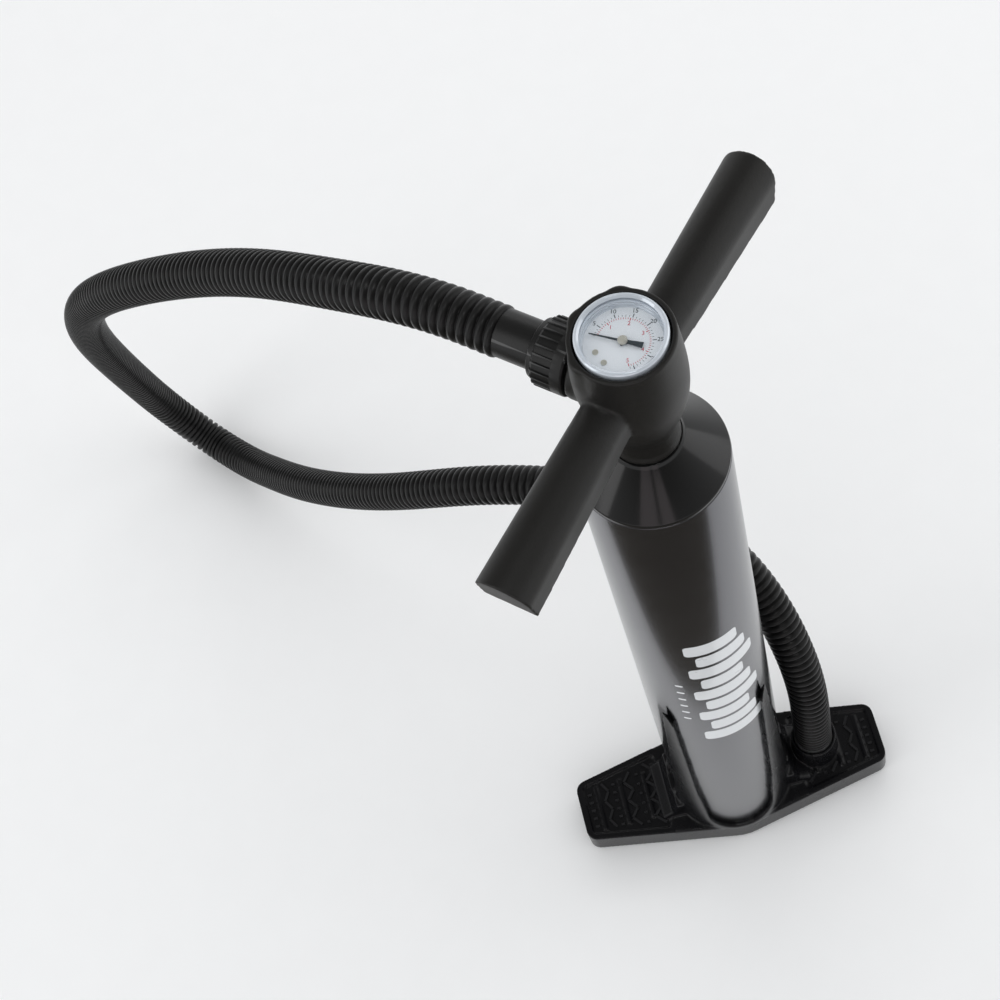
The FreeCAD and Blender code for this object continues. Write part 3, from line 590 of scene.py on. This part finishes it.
def build_world():
    """Bright world that reflections see as dim above the horizon."""
    world = bpy.data.worlds.new("studio")
    world.use_nodes = True
    tree = world.node_tree
    background = tree.nodes["Background"]
    path = tree.nodes.new("ShaderNodeLightPath")
    direction = add_node(tree, "ShaderNodeTexCoord")
    split = tree.nodes.new("ShaderNodeSeparateXYZ")
    climb = tree.nodes.new("ShaderNodeMapRange")
    climb.inputs["From Min"].default_value = DIM_STARTS
    climb.inputs["From Max"].default_value = DIM_IS_FULL
    mirrored = tree.nodes.new("ShaderNodeMix")
    mirrored.data_type = "RGBA"
    mirrored.inputs["A"].default_value = WORLD_NEAR_HORIZON
    mirrored.inputs["B"].default_value = WORLD_ABOVE
    tone = tree.nodes.new("ShaderNodeMix")
    tone.data_type = "RGBA"
    tone.inputs["A"].default_value = WORLD_LIGHT
    tree.links.new(direction.outputs["Generated"], split.inputs["Vector"])
    tree.links.new(split.outputs["Z"], climb.inputs["Value"])
    tree.links.new(climb.outputs["Result"], mirrored.inputs["Factor"])
    tree.links.new(mirrored.outputs["Result"], tone.inputs["B"])
    seen = tree.nodes.new("ShaderNodeMix")
    seen.data_type = "RGBA"
    seen.inputs["B"].default_value = WORLD_SEEN
    tree.links.new(path.outputs["Is Glossy Ray"], tone.inputs["Factor"])
    tree.links.new(path.outputs["Is Camera Ray"], seen.inputs["Factor"])
    tree.links.new(tone.outputs["Result"], seen.inputs["A"])
    tree.links.new(seen.outputs["Result"], background.inputs["Color"])
    bpy.context.scene.world = world


def build_studio():
    """Floor, world, soft lights, and the cards that the barrel, the cap and the plate reflect."""
    build_floor()
    build_world()
    dark = [DARK_EDGE_LEFT, DARK_EDGE_LEFT + DARK_EDGE_TO_FAR_SIDE,
            DARK_EDGE_RIGHT + DARK_EDGE_TO_FAR_SIDE, DARK_EDGE_RIGHT]
    glossy_card("dark_card", dark, DARK_BRIGHTNESS, tone=WARM_GREY)
    for name, (left, right) in FRONT_CARDS.items():
        corners = [round_pump(left, FRONT_DISTANCE, FRONT_LOW),
                   round_pump(right, FRONT_DISTANCE, FRONT_LOW),
                   round_pump(right, FRONT_DISTANCE, FRONT_HIGH),
                   round_pump(left, FRONT_DISTANCE, FRONT_HIGH)]
        glossy_card(name, corners, FRONT_BRIGHTNESS, tone=WARM_WHITE)
    glossy_card("top_card", TOP_CARD, TOP_BRIGHTNESS)
    area_light("key", (-1.7, -0.3, 1.6), aim=(0, 0.1, 0.3), size=(0.9, 1.8), power=7)
    area_light("fill", (1.8, 0.2, 1.3), aim=(0, 0.1, 0.3), size=(1.4, 2.2), power=7)
    area_light("back", (0.4, 2.1, 1.5), aim=(0, 0, 0.3), size=(2.4, 0.5), power=5)
    bpy.context.scene.view_settings.view_transform = "Standard"


# ---------------------------------------------------------------- barrel, cap and foot plate

BARREL_WALL = 2.0
ROUND_SIDES = 256
PRINT_LIFT = 0.05
PRINT_SINK = 0.1
STRIPES = 9
STRIPE_BASE = 218.0
STRIPE_PITCH = 17.5
STRIPE_HEIGHT = 14.0
# Azimuths: where the bars start and end, and by how much their ends are staggered.
STRIPE_START = -106
START_STAGGER = 8
STRIPE_END = -44
END_STAGGER = 7
STRIPE_CORNER = 3.0
CORNER_STEPS = 6
STRIPE_STEPS = 36
TICKS = 6
TICK_START = -121
TICK_END = -114
TICK_BASE = STRIPE_BASE + 30
TICK_PITCH = 11
TICK_HEIGHT = 2.2


def build_barrel():
    """Painted tube with its cut edges just broken."""
    low = base_of("barrel")
    high = top_of("barrel")
    bore = BARREL_RADIUS - BARREL_WALL
    edge = 0.4
    lathe("barrel_tube",
          [(bore, low), (BARREL_RADIUS, low, edge), (BARREL_RADIUS, high, edge), (bore, high)],
          "base", "barrel_paint", node="barrel", segments=ROUND_SIDES)


def build_cap():
    """Cone on the barrel's top edge, with a skirt inside the barrel and a collar for the bushing."""
    rim = top_of("barrel")
    neck = top_of("top_cap")
    skirt = base_of("top_cap")
    bore = 13.5
    collar = 18.2
    inside = 32.0
    skirt_radius = 37.9
    rim_radius = 39.8
    lathe("cap_cone", [
        (bore, rim - 14), (collar, rim - 14), (collar, neck - 8), (inside, rim - 1), (inside, skirt),
        (skirt_radius, skirt), (skirt_radius, rim), (rim_radius, rim, 0.3),
        (rim_radius, rim + 2.6, 1.4), (19.3, neck - 1.7, 3), (18.3, neck, 0.5), (bore, neck, 0.4),
    ], "base", "cap_plastic", node="top_cap", segments=ROUND_SIDES)


def printed_bar(points, faces, start, end, height, thickness):
    """A bar with round corners printed round the barrel, from one azimuth to another."""
    length = math.radians(end - start) * BARREL_RADIUS
    radius = min(STRIPE_CORNER, thickness / 2)
    least = 0.01
    first = len(points)
    quarter = [radius * (1 - math.cos(math.pi / 2 * step / CORNER_STEPS))
               for step in range(CORNER_STEPS)]
    straight_steps = STRIPE_STEPS - 2 * CORNER_STEPS
    middle = [radius + (length - 2 * radius) * step / straight_steps
              for step in range(straight_steps + 1)]
    for spot in quarter + middle + [length - near for near in reversed(quarter)]:
        inset = max(radius - min(spot, length - spot), 0)
        half = thickness / 2 - radius + math.sqrt(radius ** 2 - inset ** 2) + least
        angle = math.radians(start) + spot / BARREL_RADIUS
        for level, reach in ((-half, -PRINT_SINK), (-half, PRINT_LIFT),
                             (half, PRINT_LIFT), (half, -PRINT_SINK)):
            across = BARREL_RADIUS + reach
            points.append(Vector((across * math.cos(angle), across * math.sin(angle),
                                  height + level)) * MM)
    for step in range(STRIPE_STEPS):
        here = first + 4 * step
        for corner in range(4):
            beside = (corner + 1) % 4
            faces.append((here + corner, here + 4 + corner, here + 4 + beside, here + beside))
    faces.append(tuple(first + corner for corner in (0, 1, 2, 3)))
    tail = first + 4 * STRIPE_STEPS
    faces.append(tuple(tail + corner for corner in (3, 2, 1, 0)))


def build_print():
    """Plain decoration on the barrel: staggered white bars and a short scale of ticks."""
    points = []
    faces = []
    for number in range(STRIPES):
        start = STRIPE_START + START_STAGGER * (number % 2)
        end = STRIPE_END - END_STAGGER * (number % 3)
        height = STRIPE_BASE + number * STRIPE_PITCH
        printed_bar(points, faces, start, end, height, STRIPE_HEIGHT)
    for number in range(TICKS):
        height = TICK_BASE + number * TICK_PITCH
        printed_bar(points, faces, TICK_START, TICK_END, height, TICK_HEIGHT)
    make_piece("barrel_stripes", points, faces, "base", "barrel_ink", sharp=30)


MARK_DRAFT = 0.25


def prism(points, faces, corners, base, top, draft=MARK_DRAFT):
    """An upright block in mm on a four-cornered foot, with its sides leaning in by the draft."""
    middle = sum((Vector(corner) for corner in corners), Vector((0, 0))) / len(corners)
    first = len(points)
    count = len(corners)
    for height, inset in ((base, 0), (top, draft)):
        for corner in corners:
            inward = middle - Vector(corner)
            spot = Vector(corner) + inward.normalized() * inset
            points.append(Vector((spot.x, spot.y, height)) * MM)
    for corner in range(count):
        beside = (corner + 1) % count
        faces.append((first + corner, first + beside, first + count + beside, first + count + corner))
    faces.append(tuple(first + count + corner for corner in range(count)))
    faces.append(tuple(first + corner for corner in reversed(range(count))))


def stroke(points, faces, start, end, width, base, top, draft=MARK_DRAFT):
    """A straight raised line between two places, on the plate or on the dial."""
    start = Vector(start)
    end = Vector(end)
    ahead = (end - start).normalized()
    side = Vector((-ahead.y, ahead.x)) * width / 2
    corners = [start + side, start - side, end - side, end + side]
    prism(points, faces, corners, base, top, draft)


PLATE_VOXEL = 0.62
PLATE_PASSES = 4
PLATE_KEEP = 0.35
PLATE_HALF_WIDTH = 42.5
# How much the half width narrows for each mm along a wing.
WING_TAPER = 21 / 111
CUP_X = 64
CUP_Y = 2
CUP_CLEARANCE = 21
# The collar's bore stands this far off the barrel. Its points, within the match, are moved to lie
# a tuck inside the barrel instead.
BORE_GAP = 0.1
BORE_MATCH = 0.08
BORE_TUCK = 0.9
# Where the collar's and the cup's feet are softened: distances from their axes, and heights.
COLLAR_FOOT_RADII = (40.6, 60)
COLLAR_FOOT_HEIGHTS = (22, 60)
CUP_FOOT_RADII = (14.5, 21)
CUP_FOOT_HEIGHTS = (21.5, 33)

TREAD_LOW = 22.7
TREAD_MARK_TOP = 23.9
MARK_SINK = 0.3
MARK_WIDTH = 1.9
MARK_MARGIN = 8
# Bands of marks across each wing, by distance from the barrel's axis: zigzags, and dots in between.
MARK_BANDS = ((53, 60), (64.5, 67), (70.5, 76), (82.5, 85.5), (88.5, 92.5), (100.5, 104))
MARK_PITCHES = (7.0, 8.0, 7.5, 6.5, 7.0, 6.0)


def build_plate():
    """Foot plate with soft moulded edges."""
    moulded("foot_plate_moulding", "foot_plate", [], PLATE_VOXEL, PLATE_PASSES, "base",
            "plate_plastic", keep=PLATE_KEEP, soften=plate_fillets, shift=tucked_in)


def build_tread_marks():
    """Raised grip marks on both wings, left out where the parking cup stands."""
    points = []
    faces = []
    for side in (-1, 1):
        for band, (near, far) in enumerate(MARK_BANDS):
            middle = (near + far) / 2
            half = PLATE_HALF_WIDTH - middle * WING_TAPER - MARK_MARGIN
            count = round(2 * half / MARK_PITCHES[band])
            for number in range(count):
                low = -half + 2 * half * number / count
                high = -half + 2 * half * (number + 1) / count
                inner, outer = (near, far) if number % 2 == 0 else (far, near)
                if band % 2:
                    low += (high - low) / 3
                    high = low
                from_cup = math.hypot(middle - CUP_X, (low + high) / 2 - CUP_Y)
                if side < 0 or from_cup >= CUP_CLEARANCE:
                    stroke(points, faces, (side * inner, low), (side * outer, high), MARK_WIDTH,
                           TREAD_LOW - MARK_SINK, TREAD_MARK_TOP)
    make_piece("tread_marks", points, faces, "base", "plate_plastic", sharp=25)


def tucked_in(spot):
    """Takes the collar's bore just inside the barrel, so that its soft edges leave no gap."""
    across = math.hypot(spot.x, spot.y)
    on_bore = abs(across - BARREL_RADIUS - BORE_GAP) < BORE_MATCH
    if on_bore and spot.z > base_of("barrel") + 1:
        share = (BARREL_RADIUS - BORE_TUCK) / across
        return Vector((spot.x * share, spot.y * share, spot.z))
    return spot


def plate_fillets(spot):
    """How strongly a point of the foot plate is softened: the feet of the collar and the cup."""
    from_axis = math.hypot(spot.x, spot.y)
    from_cup = math.hypot(spot.x - CUP_X, spot.y - CUP_Y)
    collar = within(from_axis, COLLAR_FOOT_RADII) and within(spot.z, COLLAR_FOOT_HEIGHTS)
    cup = within(from_cup, CUP_FOOT_RADII) and within(spot.z, CUP_FOOT_HEIGHTS)
    return 1.0 if collar or cup else 0.0


# ---------------------------------------------------------------- handle

HUB_PROFILE = ((17.7, 547.3), (17.7, 549.0), (16.9, 551.6), (16.8, 557), (16.9, 562), (18.5, 568),
               (21.5, 575.5), (24.6, 585.5), (26.5, 596), (27.1, 606), (26.9, 617), (26.2, 628),
               (25.4, 637.4), (24.9, 639.2), (24.0, 640))
HUB_INSIDE = ((23.0, 630), (15, 605), (14, 548))
HUB_RINGS = 90
HUB_SIDES = 180
# The rim's lobes: their azimuths from the port, and how they swell with height.
LOBES = (-58.7, 0.0, 58.7)
LOBE_REACH = 1.9
LOBE_WIDTH = 20.0
LOBE_LEAST_RADIUS = 23.5
LOBE_BASE = 596
LOBE_CLIMB = 30
HANDLE_VOXEL = 0.65
HANDLE_PASSES = 6
HANDLE_KEEP = 0.5
# Where the grips and the port leave the hub: distances from the hub's axis, and heights.
GRIP_FOOT_RADII = (19, 40)
GRIP_FOOT_HEIGHTS = (578, 623)


def hub_skin():
    """The hub's outside as one smooth turned skin, with lobes round its upper rim."""
    curve, length = natural_spline(np.array(HUB_PROFILE, float))
    outer = on_curve(curve, length, np.linspace(0, length[-1], HUB_RINGS))
    rim = (HUB_INSIDE[0][0], outer[-1][1])
    port_angle = math.atan2(PORT.y, PORT.x)
    points = []
    for radius, height in [*outer, rim, *HUB_INSIDE]:
        for step in range(HUB_SIDES):
            angle = 2 * math.pi * step / HUB_SIDES
            reach = radius
            if radius > LOBE_LEAST_RADIUS:
                reach += lobe_swell(math.degrees(angle - port_angle), height)
            points.append(Vector((reach * math.cos(angle), reach * math.sin(angle), height)) * MM)
    return points, ring_faces(len(points) // HUB_SIDES, HUB_SIDES)


def lobe_swell(azimuth, height):
    """How far the rim's lobes stand out at an azimuth from the port and a height."""
    rise = min(max((height - LOBE_BASE) / LOBE_CLIMB, 0), 1)
    swell = 0
    for lobe in LOBES:
        turn = abs((azimuth - lobe + 180) % 360 - 180)
        if turn < LOBE_WIDTH:
            swell += LOBE_REACH * rise * math.cos(math.pi / 2 * turn / LOBE_WIDTH) ** 2
    return swell


def grip_fillets(spot):
    """How strongly a point of the handle is softened: the feet of the grips and the port."""
    from_axis = math.hypot(spot.x, spot.y)
    foot = within(from_axis, GRIP_FOOT_RADII) and within(spot.z, GRIP_FOOT_HEIGHTS)
    return 1.0 if foot else 0.0


def build_handle():
    """Hub and grips as one moulding with soft joins."""
    moulded("handle_moulding", "handle_housing", [hub_skin()], HANDLE_VOXEL, HANDLE_PASSES,
            "handle", "handle_plastic", keep=HANDLE_KEEP, soften=grip_fillets)


NUT_RIBS = 24
NUT_RIB_HEIGHT = 0.9
NUT_RIB_LEAST_RADIUS = 17
NUT_RIB_BASE = 35.4
# A rib's share of its pitch lies between these two.
NUT_RIB_FROM = 0.36
NUT_RIB_TO = 0.64
SIDES_PER_RIB = 14


def nut_ribs(angle, radius, along):
    """Raised ribs along the nut, between its smooth rim and its chamfer."""
    if radius < NUT_RIB_LEAST_RADIUS or along < NUT_RIB_BASE:
        return radius
    phase = (NUT_RIBS * angle / (2 * math.pi)) % 1
    if NUT_RIB_FROM < phase < NUT_RIB_TO:
        return radius
    return radius - NUT_RIB_HEIGHT


def build_nut():
    """Ribbed union nut; its lip reaches in behind the cuff's flange."""
    bore = 13.5
    lip = 12.4
    grip = 17.8
    face = 28.8
    end = 50.0
    lathe("union_nut_ribbed", [
        (bore, face), (17.2, face, 0.8), (grip, 30, 0.8), (grip, 35.2), (grip, 35.5), (grip, 45.6),
        (17.1, 46.3), (15.5, 47), (15.1, 49.4, 0.4), (14.3, end, 0.3), (lip, end), (lip, 46.6),
        (bore, 46.6),
    ], "nut", "fitting_plastic", node="union_nut", along="port",
        segments=NUT_RIBS * SIDES_PER_RIB, ripple=nut_ribs)


def build_top_cuff():
    """Cuff of the hose's upper end: flange, sleeve and the spigot inside the hose."""
    bore = 8.5
    flange = 13.4
    sleeve = 12.3
    spigot = 11.0
    face = 43
    end = 83
    lathe("top_cuff", [
        (bore, face), (flange, face), (flange, 46.5), (sleeve, 46.5), (sleeve, 70.3, 0.4),
        (spigot, 70.4), (spigot, end), (bore, end),
    ], "handle", "fitting_plastic", node="hose_top_cuff", along="port")


def build_outlet_spring():
    """Coil of the outlet valve, copied from its CAD part and riding on the handle."""
    coil = bpy.data.objects.new("outlet_spring_coil", frame["nodes"]["outlet_spring"].data.copy())
    bpy.context.scene.collection.objects.link(coil)
    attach(coil, "handle")
    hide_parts("outlet_spring")
    coil.data.materials.clear()
    coil.data.materials.append(LOOK[SLOTS["outlet_spring"]])
    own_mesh(coil)


# ---------------------------------------------------------------- gauge

DIAL_FACE = 634.0
INK = 0.06
INK_SINK = 0.05
INK_DRAFT = 0.01
# Azimuth of the scales' zero, and the way the numbers stand upright.
ZERO_TURN = 161.0
DIAL_UP = -20.0
NUMERAL_HEIGHT = 3.0
BEZEL_SIDES = 192


def dial_bar(points, faces, azimuth, near, far, width):
    """One printed tick on the dial, between two radii."""
    angle = math.radians(azimuth)
    out = Vector((math.cos(angle), math.sin(angle)))
    stroke(points, faces, out * near, out * far, width, DIAL_FACE - INK_SINK, DIAL_FACE + INK,
           INK_DRAFT)


def add_numeral(points, faces, text, radius, azimuth):
    """Adds a number that stands upright on the dial, centred on a radius and an azimuth."""
    angle = math.radians(azimuth)
    curve = bpy.data.curves.new("numeral", "FONT")
    curve.body = text
    curve.size = NUMERAL_HEIGHT * MM
    curve.align_x = "CENTER"
    curve.align_y = "CENTER"
    curve.extrude = INK * MM / 2
    lettering = bpy.data.objects.new("numeral", curve)
    lettering.location = Vector((radius * math.cos(angle), radius * math.sin(angle),
                                 DIAL_FACE + INK / 2)) * MM
    lettering.rotation_euler.z = math.radians(DIAL_UP)
    bpy.context.scene.collection.objects.link(lettering)
    graph = bpy.context.evaluated_depsgraph_get()
    graph.update()
    mesh = bpy.data.meshes.new_from_object(lettering.evaluated_get(graph))
    mesh.transform(lettering.matrix_world)
    bpy.data.objects.remove(lettering)
    first = len(points)
    points.extend(vertex.co.copy() for vertex in mesh.vertices)
    faces.extend(tuple(first + index for index in face.vertices) for face in mesh.polygons)


def build_scale(name, look, steps, turn, every, unit, major, minor, number_radius):
    """Ticks from zero clockwise, turn degrees apart, with a number at each major one.

    major and minor are a tick's (inner radius, outer radius, width), and a number is its step
    divided by unit.
    """
    points = []
    faces = []
    for step in steps:
        azimuth = ZERO_TURN - step * turn
        if step % every == 0:
            dial_bar(points, faces, azimuth, *major)
            add_numeral(points, faces, str(step // unit), number_radius, azimuth)
        else:
            dial_bar(points, faces, azimuth, *minor)
    make_piece(name, points, faces, "handle", look, sharp=30)


def build_gauge():
    """Dial with a black outer scale and a red inner scale, in a chromed bezel and wall."""
    build_scale("dial_scale", "dial_ink", steps=range(2, 37), turn=7.0, every=5, unit=1,
                major=(13.3, 15.3, 0.4), minor=(13.3, 14.2, 0.2), number_radius=16.9)
    build_scale("dial_inner_scale", "dial_red", steps=range(4, 51), turn=5.07, every=10, unit=10,
                major=(11.4, 12.9, 0.4), minor=(12.0, 12.9, 0.25), number_radius=9.9)
    lathe("bezel_ring", [
        (20.2, 634.7), (21.6, 634.7), (21.8, 636, 0.3), (21.8, 641, 0.9), (20.9, 642, 0.5),
        (20.2, 641.8, 0.3), (19.2, 640.75), (19.2, 640.65), (20.2, 640.65),
    ], "handle", "bezel_chrome", node="gauge_bezel", segments=BEZEL_SIDES)
    lathe("dial_wall", [
        (18.3, 634.05), (18.9, 634.05), (20.1, 638.4), (19.4, 638.4), (19.2, 637.2, 0.3),
        (18.8, 637.0), (18.75, 635.6, 0.2), (18.4, 635.4),
    ], "handle", "bezel_chrome", segments=BEZEL_SIDES)


# ---------------------------------------------------------------- run

build_hose()
build_barrel()
build_cap()
build_print()
build_plate()
build_tread_marks()
build_handle()
build_nut()
build_top_cuff()
build_outlet_spring()
build_gauge()
for node, cad_object in frame["nodes"].items():
    cad_object.data.materials.clear()
    cad_object.data.materials.append(LOOK[SLOTS[node]])
build_camera()
build_studio()
